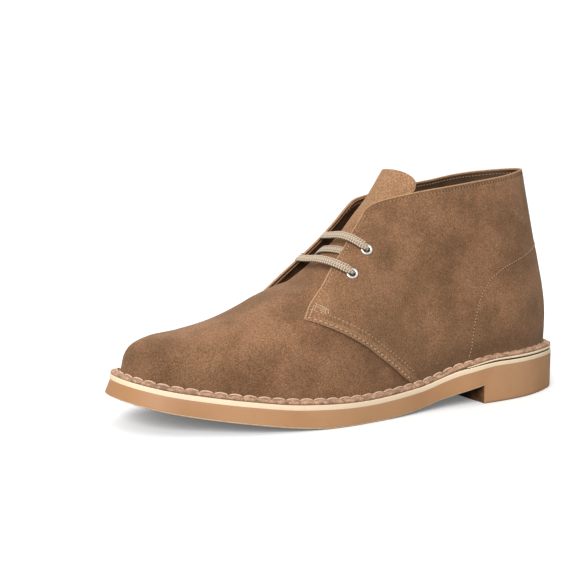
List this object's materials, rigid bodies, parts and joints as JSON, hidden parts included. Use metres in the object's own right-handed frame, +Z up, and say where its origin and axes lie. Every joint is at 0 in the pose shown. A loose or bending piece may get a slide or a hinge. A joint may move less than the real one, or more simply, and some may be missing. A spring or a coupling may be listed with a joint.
{
  "type": "chukka boot",
  "caption": "Ankle-high suede chukka boot for the left foot, open collar, lace-up front over a tongue, stitched-down edge, light midsole and rubber sole with heel.",
  "frame": {"origin": "on the floor, under the middle of the sole's box", "axes": "+Z up, +Y towards the heel along the boot, +X towards the outer side of the foot; the toe points to -Y"},
  "size_m": [0.1084, 0.303, 0.1452],
  "materials": {
    "gum_rubber": "moulded caramel gum rubber, satin",
    "cream_rubber": "cream foam rubber, cut edge",
    "suede": "sandy brown suede with a short nap",
    "suede_edge": "raw cut edge of the suede, light",
    "lining_leather": "smooth brown leather lining",
    "thread": "twisted waxed thread",
    "lace": "flat woven cotton, stone",
    "eyelet_metal": "silver white, satin"
  },
  "bodies": {
    "root": {"outsole": "gum_rubber", "midsole": "cream_rubber", "heel_wedge": "cream_rubber", "insole": "lining_leather", "upper": "suede", "tongue": "suede", "eyelet_outer_low": "eyelet_metal", "eyelet_outer_top": "eyelet_metal", "eyelet_inner_low": "eyelet_metal", "eyelet_inner_top": "eyelet_metal", "lace_low_bar": "lace", "lace_top_bar": "lace", "lace_diagonal": "lace"}
  },
  "joints": []
}
